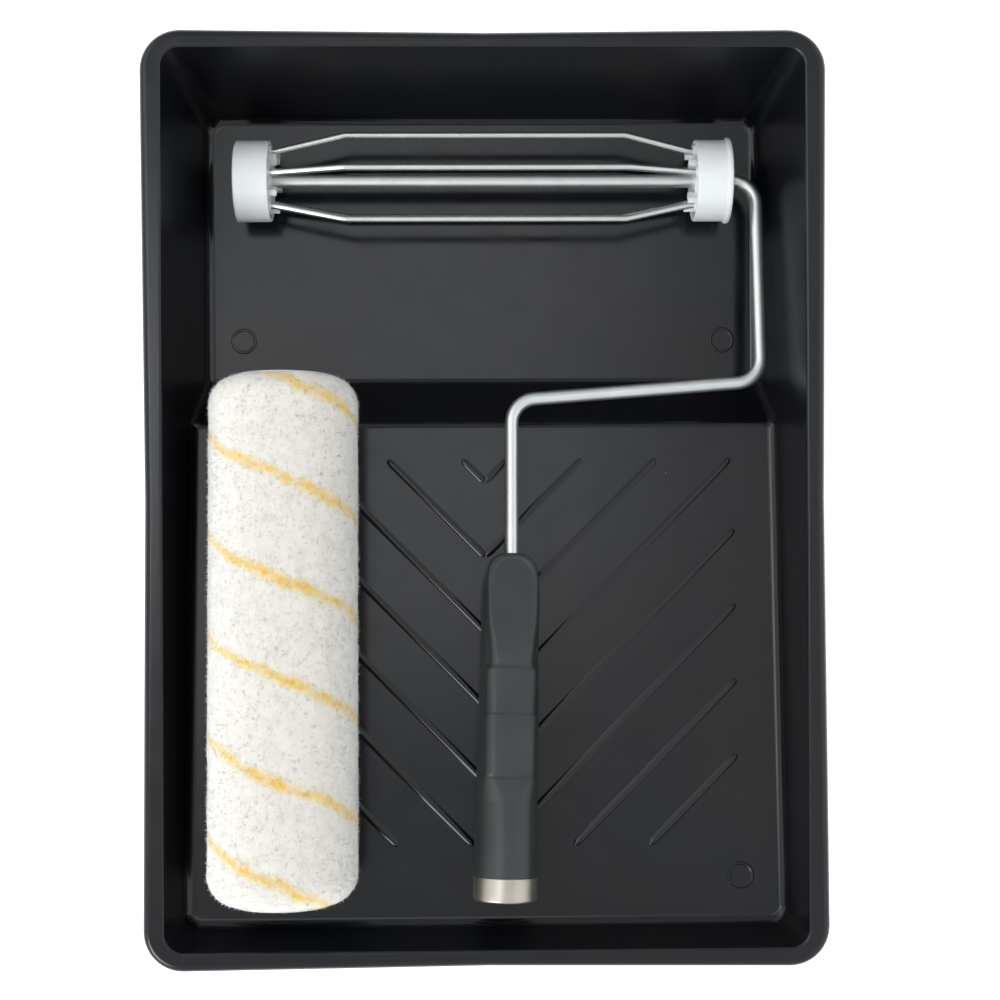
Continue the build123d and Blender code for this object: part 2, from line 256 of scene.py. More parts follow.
def curve_through(points, spot):
    """A smooth value at spot through (position, value) points, by a Catmull-Rom curve."""
    last = len(points) - 1
    i = max(0, min(last - 1, sum(1 for p in points if p[0] <= spot) - 1))
    (x0, y0), (x1, y1) = points[i], points[i + 1]
    before, after = points[max(0, i - 1)], points[min(last, i + 2)]
    t = max(0.0, min(1.0, (spot - x0) / (x1 - x0)))
    slope0 = (y1 - before[1]) / (x1 - before[0]) * (x1 - x0)
    slope1 = (after[1] - y0) / (after[0] - x0) * (x1 - x0)
    return ((2 * t**3 - 3 * t**2 + 1) * y0 + (t**3 - 2 * t**2 + t) * slope0
            + (-2 * t**3 + 3 * t**2) * y1 + (t**3 - t**2) * slope1)


def bent_path(corners, radius, arc_steps=12):
    """Straight runs joined by tangent arcs, as a list of vectors."""
    path = [corners[0]]
    for before, here, after in zip(corners, corners[1:], corners[2:]):
        back, ahead = (before - here).normalized(), (after - here).normalized()
        half = back.angle(ahead) / 2
        if math.pi / 2 - half < 0.02:
            path.append(here)
            continue
        reach = radius / math.tan(half)
        centre = here + (back + ahead).normalized() * radius / math.sin(half)
        first, last = here + back * reach - centre, here + ahead * reach - centre
        axis = first.cross(last).normalized()
        for step in range(arc_steps + 1):
            path.append(centre + Matrix.Rotation(first.angle(last) * step / arc_steps, 3, axis) @ first)
    return path + [corners[-1]]


def step_up(value):
    """0 below 0, 1 above 1, and a smooth step between."""
    value = max(0.0, min(1.0, value))
    return value * value * (3 - 2 * value)


def tube(name, path, normal, radius, segments=32, pinch=None):
    """A round bar along a flat path, with closed ends. pinch gives width and height factors at a point."""
    vertices, faces = [], []
    turns = [2 * math.pi * step / segments for step in range(segments)]
    for i, point in enumerate(path):
        ahead = (path[min(i + 1, len(path) - 1)] - path[max(i - 1, 0)]).normalized()
        side = ahead.cross(normal).normalized()
        wide, high = pinch(point) if pinch else (1, 1)
        for a in turns:
            vertices.append(point + side * math.cos(a) * radius * wide + normal * math.sin(a) * radius * high)
    for i in range(len(path) - 1):
        for step in range(segments):
            a, b = i * segments + step, i * segments + (step + 1) % segments
            faces.append((a, b, b + segments, a + segments))
    start, end = len(vertices), len(vertices) + 1
    last_ring = start - segments
    vertices += [path[0], path[-1]]
    for step in range(segments):
        following = (step + 1) % segments
        faces.append((start, following, step))
        faces.append((end, last_ring + step, last_ring + following))
    piece = mesh_object(name, vertices, faces)
    outward(piece)
    mark_sharp(piece.data, 50)
    return piece


def finished(piece, material, body, replaced=()):
    """Gives a piece its material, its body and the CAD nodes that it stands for."""
    piece.data.materials.clear()
    piece.data.materials.append(material)
    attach(piece, body)
    if replaced:
        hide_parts(*replaced)
    return piece


SLEEVE = place(BORE["pos_m"], BORE["axis"])


# ---- Materials ----

def moulded_polypropylene():
    """Black polypropylene, moulded in a polished tool: deep black with a clear, slightly soft gloss.

    Steep walls are duller, where the tool drags on them as it draws out.
    """
    material, tree, where = new_material("black_polypropylene_moulded")
    fleck = add_node(tree, "ShaderNodeTexVoronoi", {"Vector": where, "Scale": 1 / 11})
    speck = add_node(tree, "ShaderNodeValToRGB", {"Fac": fleck}, [(0.012, 1.0), (0.024, 0.0)])
    patches = mottled(tree, [(0.58, 0.0), (0.66, 0.8)], where, 35, 2)
    dusty = add_node(tree, "ShaderNodeMix", {
        "Factor": worked(tree, speck, ("MULTIPLY", patches)),
        "A": mottled(tree, [(0.38, "#0b0f15"), (0.66, "#141114")], where, 90, 3),
        "B": linear("#b9bab8"),
    }, data_type="RGBA")
    normal = add_node(tree, "ShaderNodeTexCoord").outputs["Normal"]
    rise = add_node(tree, "ShaderNodeSeparateXYZ", {0: normal}).outputs["Z"]
    dulled = add_node(tree, "ShaderNodeMapRange", {
        "Value": worked(tree, rise, ("ABSOLUTE",)), "From Min": 0.75, "From Max": 0.3,
        "To Min": 0.0, "To Max": 0.18,
    })
    gloss = mottled(tree, [(0.3, 0.12), (0.75, 0.2)], where, 16, 5, 0.6)
    return shaded(material, {
        "Base Color": dusty.outputs["Result"],
        "Roughness": worked(tree, gloss, ("ADD", dulled)),
        "Normal": relief(tree, 0.05, where, 24, 2),
    })


def bright_plate(name, shades, grain, gloss):
    """Bright plate over drawn or pressed steel: a mirror softened by the fine grain of the steel under it."""
    material, tree, where = new_material(name)
    return shaded(material, {
        "Metallic": 1.0,
        "Base Color": mottled(tree, [(0.3, shades[0]), (0.75, shades[1])], where, 9, 3),
        "Roughness": mottled(tree, [(0.3, gloss[0]), (0.8, gloss[1])], where, grain, 3),
        "Normal": relief(tree, 0.004, where, grain, 2),
    })


def natural_nylon():
    """Unfilled nylon, moulded: milky and a little translucent, so that its shadows are soft."""
    material, tree, where = new_material("natural_nylon_moulded")
    return shaded(material, {
        "Base Color": mottled(tree, [(0.3, "#e3e6e6"), (0.75, "#eceeee")], where, 14, 3),
        "Roughness": 0.3,
        "Subsurface Weight": 0.3,
        "Subsurface Scale": 2.5 * MM,
        "Subsurface Radius": (1.0, 1.0, 1.0),
        "Normal": relief(tree, 0.01, where, 3, 2),
    })


def satin_grip():
    """Charcoal polypropylene with a fine spark-eroded grain: satin, with a broad soft sheen."""
    material, tree, where = new_material("charcoal_polypropylene_satin")
    return shaded(material, {
        "Base Color": mottled(tree, [(0.3, "#2b2f30"), (0.75, "#343837")], where, 22, 4),
        "Roughness": mottled(tree, [(0.3, 0.34), (0.75, 0.44)], where, 5, 4),
        "Normal": relief(tree, 0.01, where, 0.7, 2),
    })


def spring_steel():
    """Plain spring steel, blanked and left oily: grey and half bright."""
    material, tree, where = new_material("spring_steel_blanked")
    return shaded(material, {
        "Metallic": 1.0,
        "Base Color": mottled(tree, [(0.3, "#8d8f90"), (0.75, "#a9abac")], where, 3, 4),
        "Roughness": mottled(tree, [(0.3, 0.25), (0.75, 0.4)], where, 1.2, 3),
    })


def extruded_core():
    """White polypropylene tube, extruded: smooth, with faint lines along its length."""
    material, tree, where = new_material("white_polypropylene_extruded", SLEEVE)
    drawn_out = add_node(tree, "ShaderNodeMapping", {"Vector": where, "Scale": (1, 1, 0.03)})
    return shaded(material, {
        "Base Color": mottled(tree, [(0.3, "#dcdcd8"), (0.75, "#ebebe7")], drawn_out, 1.2, 2),
        "Roughness": 0.4,
        "Normal": relief(tree, 0.03, drawn_out, 1.2, 2),
    })


def knitted_pile(kit):
    """Knitted acrylic pile: matt white fibre with a loose yellow thread in a two-start helix."""
    material, tree, where = new_material("acrylic_pile_knitted", SLEEVE)
    lead, start, width = kit.stripe_lead / MM, kit.stripe_start / MM, kit.stripe_width / MM
    spot = add_node(tree, "ShaderNodeSeparateXYZ", {0: where}).outputs
    turn = worked(tree, spot["Y"], ("ARCTAN2", spot["X"]))
    along = worked(tree, turn, ("MULTIPLY", lead / (2 * math.pi)), ("ADD", spot["Z"]), ("SUBTRACT", start))
    for grain, reach in ((24, 5.0), (7, 4.5), (1.6, 4.0)):
        noise = add_node(tree, "ShaderNodeTexNoise", grains(where, grain, 2))
        along = worked(tree, noise, ("SUBTRACT", 0.5), ("MULTIPLY_ADD", reach, along))
    nearness = worked(tree, along, ("WRAP", lead / 4, -lead / 4), ("ABSOLUTE",), ("DIVIDE", width))
    thread = add_node(tree, "ShaderNodeValToRGB", {"Fac": nearness}, [(0.1, 0.9), (0.36, 0.5), (0.72, 0.0)])
    worn = mottled(tree, [(0.3, 0.5), (0.62, 1.0)], where, 5, 3)
    dyed = add_node(tree, "ShaderNodeMix", {
        "Factor": worked(tree, thread, ("MULTIPLY", worn)),
        "A": mottled(tree, [(0.3, "#e1ddd5"), (0.7, "#e9e5dd")], where, 6, 4),
        "B": linear("#e8c248"),
    }, data_type="RGBA")
    return shaded(material, {
        "Base Color": dyed.outputs["Result"],
        "Roughness": 0.95,
        "Specular IOR Level": 0.1,
        "Sheen Weight": 0.45,
        "Sheen Roughness": 0.6,
        "Subsurface Weight": 0.8,
        "Subsurface Scale": 2.0 * MM,
        "Subsurface Radius": (1.0, 0.97, 0.9),
        "Normal": relief(tree, 0.12, where, 0.8, 3, 0.6),
    })


# ---- Sizes that a user would change ----

class TrayKit(bpy.types.PropertyGroup):
    """The sizes that a user would change."""

    rib_count: IntProperty(name="Ribs", description="Number of chevron ribs on the ramp", default=8)
    rib_pitch: FloatProperty(
        name="Rib pitch", description="Distance between the chevrons", default=33.3 * MM, unit="LENGTH")
    rib_width: FloatProperty(
        name="Rib width", description="Width of a rib at its foot", default=3.5 * MM, unit="LENGTH")
    rib_height: FloatProperty(
        name="Rib height", description="Height of a rib above the ramp", default=0.62 * MM, unit="LENGTH")
    rod_radius: FloatProperty(
        name="Rod radius", description="Radius of the bent rod", default=3 * MM, unit="LENGTH")
    bend_radius: FloatProperty(
        name="Bend radius", description="Radius of the rod's bends along its middle", default=11 * MM,
        unit="LENGTH")
    wire_radius: FloatProperty(
        name="Wire radius", description="Radius of a cage wire", default=1.5 * MM, unit="LENGTH")
    wire_count: IntProperty(name="Wires", description="Number of cage wires", default=5)
    stripe_lead: FloatProperty(
        name="Stripe lead", description="Length that one yellow thread climbs in a turn", default=83.5 * MM,
        unit="LENGTH")
    stripe_width: FloatProperty(
        name="Stripe width", description="Width of the yellow thread", default=5.4 * MM, unit="LENGTH")
    stripe_start: FloatProperty(
        name="Stripe start", description="Shift of the threads along the sleeve", default=5.5 * MM,
        unit="LENGTH")
    pile_count: IntProperty(name="Tufts", description="Tufts in each layer of the pile", default=13000)
    camera_height: FloatProperty(
        name="Camera height", description="Height of the camera above the floor", default=0.81, unit="LENGTH")


# ---- Tray ----

# The ramp's upper edge, and how far it falls for each unit towards the shallow end
RAMP_TOP = Vector((0, 33.5, 28.0)) * MM
RAMP_FALL = 12.0 / 221.1
RAMP_NORMAL = Vector((0, RAMP_FALL, 1)).normalized()


def height_over_ramp(point):
    """How far a point stands above the ramp's plane."""
    return (point - RAMP_TOP).dot(RAMP_NORMAL)


def on_ramp(x, y):
    """The ramp point at (x, y) in millimetres."""
    return Vector((x * MM, y * MM, RAMP_TOP.z + (RAMP_TOP.y - y * MM) * RAMP_FALL))


def welded_copy(node, name, sharp=28):
    """A copy of a CAD node whose loose triangles are merged, shaded smooth with weighted normals."""
    mesh = frame["nodes"][node].data.copy()
    edited(mesh, lambda bm: bmesh.ops.remove_doubles(bm, verts=bm.verts, dist=0.002 * MM))
    mark_sharp(mesh, sharp)
    piece = new_object(name, mesh)
    piece.modifiers.new("weighted", "WEIGHTED_NORMAL").keep_sharp = True
    return applied(piece, name)


def applied(piece, name):
    """The piece as a plain mesh, with its modifiers' result kept and the modifiers gone."""
    depsgraph = bpy.context.evaluated_depsgraph_get()
    mesh = bpy.data.meshes.new_from_object(piece.evaluated_get(depsgraph), depsgraph=depsgraph)
    mesh.name = name
    old = piece.data
    piece.modifiers.clear()
    piece.data = mesh
    bpy.data.meshes.remove(old)
    piece.name = name
    return piece


def rib_lines(kit):
    """A mesh of single edges, one along the crest of each rib, mirrored about the middle of the ramp."""
    # In millimetres: the top chevron's apex, the ribs' reach to each side, and the ribbed part's two ends
    first_apex, reach, low, high = 7.6, 111.6, -153.3, 17.8
    vertices, edges = [], []
    for rib in range(kit.rib_count):
        apex = first_apex - kit.rib_pitch / MM * rib
        start, end = max(0.0, low - apex), min(reach, high - apex)
        for side in (-1, 1):
            edges.append((len(vertices), len(vertices) + 1))
            vertices += [on_ramp(side * start, apex + start), on_ramp(side * end, apex + end)]
    mesh = bpy.data.meshes.new("rib_lines")
    mesh.from_pydata([tuple(v) for v in vertices], edges, [])
    return new_object("rib_lines", mesh)


def new_tree(name, **inputs):
    """A Geometry Nodes tree with a geometry input, named size inputs and a geometry output."""
    tree = bpy.data.node_groups.new(name, "GeometryNodeTree")
    tree.interface.new_socket("Geometry", in_out="INPUT", socket_type="NodeSocketGeometry")
    for key, kind in inputs.items():
        tree.interface.new_socket(key, in_out="INPUT", socket_type=f"NodeSocket{kind}")
    tree.interface.new_socket("Geometry", in_out="OUTPUT", socket_type="NodeSocketGeometry")
    return tree, add_node(tree, "NodeGroupInput").outputs


def grown(piece, tree, geometry, material, name, **values):
    """Ends a tree in Realize Instances and Set Material, runs it on a piece and keeps the plain mesh."""
    real = add_node(tree, "GeometryNodeRealizeInstances", {"Geometry": geometry})
    painted = add_node(tree, "GeometryNodeSetMaterial", {"Geometry": real.outputs[0], "Material": material})
    add_node(tree, "NodeGroupOutput", {0: painted.outputs[0]})
    modifier = piece.modifiers.new(name, "NODES")
    modifier.node_group = tree
    for item in tree.interface.items_tree:
        if item.in_out == "INPUT" and item.name in values:
            modifier[item.identifier] = values[item.name]
    return applied(piece, name)


def grown_ribs(kit, material):
    """Geometry Nodes: a rounded ridge swept along each rib line, drawn down to nothing at both ends."""
    tree, given = new_tree("rounded_ridges", Width="Float", Height="Float")
    lines = add_node(tree, "GeometryNodeMeshToCurve", {"Mesh": given["Geometry"]})
    fine = add_node(tree, "GeometryNodeResampleCurve", {"Curve": lines, "Length": 0.5 * MM}, mode="LENGTH")
    upright = add_node(tree, "GeometryNodeSetCurveNormal", {"Curve": fine}, mode="Z_UP")
    along = add_node(tree, "GeometryNodeSplineParameter").outputs["Length"]
    total = add_node(tree, "GeometryNodeSplineLength").outputs["Length"]
    nearest_end = worked(tree, total, ("SUBTRACT", along), ("MINIMUM", along))
    share = worked(tree, nearest_end, ("DIVIDE", given["Width"]), ("MINIMUM", 1.0))
    missing = worked(tree, 1.0, ("SUBTRACT", share), ("POWER", 2.0))
    round_end = worked(tree, 1.001, ("SUBTRACT", missing), ("SQRT",))
    # The section is a unit circle, drawn out to the rib's width with a parabola for its top
    circle = add_node(tree, "GeometryNodeCurvePrimitiveCircle", {"Resolution": 24, "Radius": 1.0})
    position = add_node(tree, "GeometryNodeInputPosition")
    spot = add_node(tree, "ShaderNodeSeparateXYZ", {0: position}).outputs
    arch = add_node(tree, "ShaderNodeCombineXYZ", {
        "X": worked(tree, spot["X"], ("MULTIPLY", given["Width"]), ("MULTIPLY", 0.5)),
        "Y": worked(tree, spot["Y"], ("ABSOLUTE",), ("MULTIPLY", spot["Y"]), ("MULTIPLY", given["Height"])),
    })
    section = add_node(tree, "GeometryNodeSetPosition", {"Geometry": circle, "Position": arch})
    swept = add_node(tree, "GeometryNodeCurveToMesh", {
        "Curve": upright, "Profile Curve": section, "Scale": round_end, "Fill Caps": True,
    })
    sizes = {"Width": kit.rib_width, "Height": kit.rib_height}
    ribs = grown(rib_lines(kit), tree, swept, material, "ramp_ribs", **sizes)
    mark_sharp(ribs.data, 50)
    return ribs


def pressed_flat(mesh):
    """Lowers the plain CAD ribs into the ramp, so that the rounded ones can stand there."""
    def lower(bm):
        for vertex in bm.verts:
            above = height_over_ramp(vertex.co)
            ribbed = abs(vertex.co.x) < 114 * MM and vertex.co.y < 20 * MM
            if ribbed and 0.3 * MM < above < 2 * MM:
                vertex.co -= RAMP_NORMAL * above
        bmesh.ops.remove_doubles(bm, verts=bm.verts, dist=0.01 * MM)

    edited(mesh, lower)


class TRAYKIT_OT_tray(bpy.types.Operator):
    """Builds the moulded tray from its CAD shape, with rounded ribs and the rings that ejector pins left"""

    bl_idname = "tray_kit.tray"
    bl_label = "Moulded tray"

    def execute(self, context):
        kit = context.scene.tray_kit
        plastic = moulded_polypropylene()
        tray = welded_copy("tray", "tray_shell")
        pressed_flat(tray.data)
        finished(tray, plastic, "tray_body", ["tray"])
        finished(grown_ribs(kit, plastic), plastic, "tray_body")
        ring = rounded([(3.9, 0, 0), (5.9, 0, 0), (5.6, 0.42, 0.3), (4.9, 0.42, 0.3)], 4)
        # Two rings on the well's floor and two at the ramp's low end
        spots = [place(Vector((side * 110.5, 73.5, 2.0)) * MM, UP) for side in (-1, 1)]
        spots += [place(on_ramp(side * 112.5, -167.0), RAMP_NORMAL) for side in (-1, 1)]
        finished(lathe("ejector_rings", ring, spots, 48, 60), plastic, "tray_body")
        return {"FINISHED"}


# ---- Roller frame ----

def in_frame(x, y):
    """The point of the roller frame's plane above or below (x, y) in millimetres."""
    return ACROSS * (x * MM) + Vector((0, AXLE.y, AXLE.z)) + FRAME_DOWN * ((y * MM - AXLE.y) / FRAME_DOWN.y)


def dense(path, step):
    """The same path with points no further apart than a step."""
    result = [path[0]]
    for a, b in zip(path, path[1:]):
        pieces = max(1, math.ceil((b - a).length / step))
        result += [a.lerp(b, (i + 1) / pieces) for i in range(pieces)]
    return result


# Where the rod turns, in millimetres seen from above: past the cage, down the side, over to the handle
ROD_TURNS = ((122.8, 143.3), (123.4, 52.1), (12.2, 43.8))
SOCKET_LENGTH = SOCKET["dims"]["length_mm"] * MM
GRIP_END = Vector(SOCKET["pos_m"]) + HANDLE_BACK * SOCKET_LENGTH / 2
GRIP_LENGTH = 149.2
GRIP_NOSE = GRIP_END - HANDLE_BACK * GRIP_LENGTH * MM


class TRAYKIT_OT_rod(bpy.types.Operator):
    """Sweeps the bent rod along its runs, with the pinch that stops the cage sliding off"""

    bl_idname = "tray_kit.rod"
    bl_label = "Bent rod"

    def execute(self, context):
        kit = context.scene.tray_kit
        plate = bright_plate("chrome_plate_on_drawn_rod", ("#dde0df", "#e8ebe9"), 0.6, (0.33, 0.44))
        corners = [in_frame(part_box("frame_rod")[0].x / MM, AXLE.y / MM)]
        corners += [in_frame(x, y) for x, y in ROD_TURNS]
        corners += [GRIP_NOSE, GRIP_NOSE + HANDLE_BACK * 40 * MM]
        path = dense(bent_path(corners, kit.bend_radius), 1.2 * MM)
        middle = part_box("right_washer")[1].x + 2.6 * MM
        reach, depth = 2.4 * MM, 0.12

        def pinch(point):
            if abs(point.y - AXLE.y) >= 2 * MM:
                return 1, 1
            near = step_up(1 - abs(point.x - middle) / reach)
            return 1 - depth * near, 1 + depth * near

        rod = tube("bent_rod", path, FRAME_NORMAL, kit.rod_radius, pinch=pinch)
        finished(rod, plate, "roller_frame", ["frame_rod"])
        return {"FINISHED"}


# ---- Cage ----

def grown_wires(source, kit, plate):
    """Geometry Nodes: the bowed wire copied about the X axis, evenly spaced, then put on the axle."""
    tree, given = new_tree("bars_about_axle", Count="Int", Phase="Float")
    points = add_node(tree, "GeometryNodePoints", {"Count": given["Count"]})
    index = add_node(tree, "GeometryNodeInputIndex")
    share = worked(tree, index, ("DIVIDE", given["Count"]))
    angle = worked(tree, share, ("MULTIPLY", 2 * math.pi), ("ADD", given["Phase"]))
    copies = add_node(tree, "GeometryNodeInstanceOnPoints", {
        "Points": points,
        "Instance": given["Geometry"],
        "Rotation": add_node(tree, "ShaderNodeCombineXYZ", {"X": angle}),
    })
    sizes = {"Count": kit.wire_count, "Phase": math.radians(11)}
    piece = grown(source, tree, copies, plate, "cage_wires", **sizes)
    piece.data.transform(Matrix.Translation(AXLE))
    return piece


def cups(nylon):
    """The two end cups, turned about the axle: thin walls, an outer face and, on the right, a flange."""
    axle = Matrix.Rotation(math.pi / 2, 4, "Y")
    axle.translation = Vector((0, AXLE.y, AXLE.z))
    wall = 1.8
    low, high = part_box("left_end_cap")
    radius = (high.y - low.y) / 2 / MM
    bore = radius - wall
    face, mouth = low.x / MM, high.x / MM
    left = rounded([
        (0.01, face + 0.5, 0), (radius - 4, face + 0.5, 0.4), (radius - 3.4, face, 0.4), (radius, face, 1.1),
        (radius - 0.15, mouth, 0.35), (bore, mouth, 0.35), (bore, face + wall, 0.9), (0.01, face + wall, 0),
    ])
    finished(lathe("left_cup", left, [axle], 128), nylon, "cage", ["left_end_cap"])
    low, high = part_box("right_end_cap")
    flange = (high.y - low.y) / 2 / MM
    mouth, face = low.x / MM, high.x / MM
    lip, hole = face - 2.6, 3.3
    right = rounded([
        (bore, mouth, 0.35), (radius, mouth, 0.45), (radius, lip, 0.9), (flange, lip + 0.5, 0.45),
        (flange, face - 0.3, 0.8), (hole, face, 0.3), (hole, face - wall, 0.3), (bore, face - wall, 0.9),
    ])
    finished(lathe("right_cup", right, [axle], 128), nylon, "cage", ["right_end_cap"])


class TRAYKIT_OT_cage(bpy.types.Operator):
    """Builds the sprung wires, the end cups and the hubs of the cage"""

    bl_idname = "tray_kit.cage"
    bl_label = "Wire cage"

    def execute(self, context):
        kit = context.scene.tray_kit
        nylon = natural_nylon()
        plate = bright_plate("zinc_plate_on_spring_wire", ("#d3d6d4", "#e0e3e1"), 0.4, (0.28, 0.4))
        low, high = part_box("cage_wire_1")
        left, right = low.x / MM, high.x / MM
        # Each wire runs close to the rod in both cups and bows out between them
        inner, outer, foot = 13.0, 20.3, 9.5
        profile = [
            (left, inner), (left + foot, inner), (-61.5, outer), (64.0, outer), (right - foot, inner),
            (right, inner),
        ]
        corners = [Vector((x, radius, 0)) * MM for x, radius in profile]
        path = dense(bent_path(corners, 8 * MM, 8), 4 * MM)
        wire = tube("one_wire", path, UP, kit.wire_radius, 20)
        nodes = [f"cage_wire_{number + 1}" for number in range(kit.wire_count)]
        finished(grown_wires(wire, kit, plate), plate, "cage", nodes)
        cups(nylon)
        for node in ("left_hub", "right_hub"):
            finished(welded_copy(node, node + "_moulded", 35), nylon, "cage", [node])
        steel = spring_steel()
        for node in ("left_push_nut", "left_washer", "right_washer"):
            ring = frame["nodes"][node]
            ring.data.materials.clear()
            ring.data.materials.append(steel)
        return {"FINISHED"}


# ---- Handle ----

# Millimetres behind the nose where the ferrule's seat, the dished thumb rest and the last step are
SEAT = 139.6
THUMB_REST = (1.2, 48)
LAST_STEP = 96.6
# Each curve gives a size of the grip, in millimetres, at distances behind its nose
BODY_HALF_WIDTH = [
    (0, 3.6), (0.6, 5.6), (1.6, 7.4), (3.2, 9.0), (5.5, 10.3), (8.5, 11.1), (11, 11.8), (14, 12.4),
    (18, 12.7), (48, 12.7), (60, 13.0), (80, 13.4), (96, 13.5), (SEAT, 13.65),
]
TOP_HALF_WIDTH = [
    (0, 3.3), (0.6, 5.4), (1.6, 7.3), (3.2, 8.9), (5.5, 10.2), (8.5, 11.0), (12, 11.3), (27, 11.2),
    (33, 10.8), (38, 10.2), (44.7, 9.8), (48.5, 9.9), (51, 11.2), (54, 11.4), (69.3, 11.2), (70.6, 11.5),
    (95.6, 11.4), (97, 11.7), (100, 12.3), (104, 12.9), (109, 13.3), (SEAT, 13.5),
]
TOP_HEIGHT = [
    (0, 3.6), (0.6, 4.4), (1.6, 5.0), (3.2, 5.5), (6, 6.1), (10, 6.8), (20, 8.0), (30, 9.0), (40, 9.9),
    (46, 10.4), (49, 10.5), (51, 10.95), (69.3, 11.1), (70.4, 11.35), (95.7, 11.75), (96.5, 11.4), (98, 11.7),
    (104, 12.3), (112, 13.0), (120, 13.45), (SEAT, 13.65),
]
DEPTH_BELOW = [
    (0, 3.6), (0.6, 4.6), (1.6, 5.8), (3.2, 7.0), (6, 8.0), (10, 8.7), (20, 9.2), (34, 9.6), (48, 9.9),
    (60, 10.8), (80, 11.5), (96, 11.9), (104, 12.5), (112, 13.2), (122, 13.5), (SEAT, 13.65),
]
SHOULDER_RADIUS = [
    (0, 1.2), (10, 1.6), (30, 2.4), (48, 3.4), (60, 4.0), (96, 4.4), (100, 6.5), (104, 9.5), (109, 12.4),
    (SEAT, 13),
]
THUMB_HALF_WIDTH = [
    (1.2, 0.2), (2, 3.6), (3.2, 6.2), (5.5, 8.4), (8.5, 9.9), (12, 10.4), (22, 10.3), (29, 9.8), (37, 8.4),
    (43, 6.6), (46, 4.2), (48, 0.2),
]
# How far the grip is turned on the rod, as it lies
GRIP_ROLL = math.radians(8)


def grip_section(spot):
    """The grip's outline at a distance behind its nose, as (across, up) points in millimetres."""
    body = curve_through(BODY_HALF_WIDTH, spot)
    top = curve_through(TOP_HEIGHT, spot)
    below = curve_through(DEPTH_BELOW, spot)
    shoulder = curve_through(TOP_HALF_WIDTH, spot)
    radius = min(curve_through(SHOULDER_RADIUS, spot), 0.95 * top, 0.95 * shoulder)
    under = [math.pi * (1 + i / 40) for i in range(41)]
    outline = [(body * math.cos(a), below * math.sin(a)) for a in under]
    flank = [i / 8 for i in range(1, 9)]
    right = [(body + (shoulder - body) * t ** 1.6, (top - radius) * t) for t in flank]
    turn = [math.pi / 2 * i / 8 for i in range(1, 9)]
    right += [(shoulder - radius + radius * math.cos(a), top - radius + radius * math.sin(a)) for a in turn]
    flat = shoulder - radius
    outline += right
    outline += [(flat * (1 - 2 * i / 48), top) for i in range(1, 48)]
    outline += [(-x, y) for x, y in reversed(right)]
    thumb = curve_through(THUMB_HALF_WIDTH, spot) if THUMB_REST[0] < spot < THUMB_REST[1] else 0.0
    groove = 0.12 * math.exp(-((spot - LAST_STEP) / 0.4) ** 2)
    crown = (0.5 + 0.9 * step_up((spot - 40) / 12)) * (1 - step_up((spot - 96) / 15))
    sunk = []
    for x, y in outline:
        if y > 0:
            y -= crown * (x / shoulder) ** 2 * (y / top) ** 2
            inset = step_up((thumb - abs(x)) / 2.2)
            dish = (0.4 + 0.4 * (1 - (x / max(thumb, 1)) ** 2)) * (1 - step_up((spot - 22) / 22))
            y -= inset * dish * step_up(spot / 3)
            y -= groove * y / top
        sunk.append((x, y))
    return sunk


def grip_mesh(name):
    """The grip: sections lofted along the handle, closed round the rod, with a threaded pole socket."""
    level = FRAME_NORMAL.cross(HANDLE_BACK)
    side = level * math.cos(GRIP_ROLL) - FRAME_NORMAL * math.sin(GRIP_ROLL)
    high = FRAME_NORMAL * math.cos(GRIP_ROLL) + level * math.sin(GRIP_ROLL)
    spots = [0.15 * i for i in range(14)]
    while spots[-1] < SEAT - 0.5:
        on_step = any(start < spots[-1] < end for start, end in ((95.6, 97.2), (49, 51), (69, 71)))
        spots.append(spots[-1] + (0.12 if on_step else 0.45))
    spots.append(SEAT)
    sections = [grip_section(spot) for spot in spots]
    around = len(sections[0])
    turns = [math.atan2(y, x) for x, y in sections[-1]]
    rings = [[GRIP_NOSE + HANDLE_BACK * spot * MM + side * x * MM + high * y * MM for x, y in outline]
             for spot, outline in zip(spots, sections)]

    def round_ring(centre, radius):
        return [centre + (side * math.cos(a) + high * math.sin(a)) * radius * MM for a in turns]

    rod_hole, spigot = 3.02, 13.0
    rings.insert(0, round_ring(GRIP_NOSE, rod_hole))
    rings.insert(0, round_ring(GRIP_NOSE + HANDLE_BACK * 6 * MM, rod_hole))
    crest = SOCKET["dims"]["r_mm"]
    root = crest + 0.6
    seat = GRIP_NOSE + HANDLE_BACK * SEAT * MM
    rings += [round_ring(seat, spigot), round_ring(GRIP_END, spigot), round_ring(GRIP_END, root)]
    turns_of_thread = 10
    pitch = SOCKET_LENGTH / turns_of_thread
    for i in range(turns_of_thread):
        for radius, share in ((crest, 0.1), (root, 0.45), (root, 0.65), (crest, 0.95)):
            rings.append(round_ring(GRIP_END - HANDLE_BACK * pitch * (i + share), radius))
    vertices = [point for ring in rings for point in ring]
    faces = []
    for i in range(len(rings) - 1):
        for step in range(around):
            a, b = i * around + step, i * around + (step + 1) % around
            faces.append((a, b, b + around, a + around))
    faces.append(tuple(range(around)))
    faces.append(tuple(len(vertices) - around + step for step in range(around)))
    piece = mesh_object(name, vertices, faces)
    outward(piece)
    mark_sharp(piece.data, 32)
    return piece


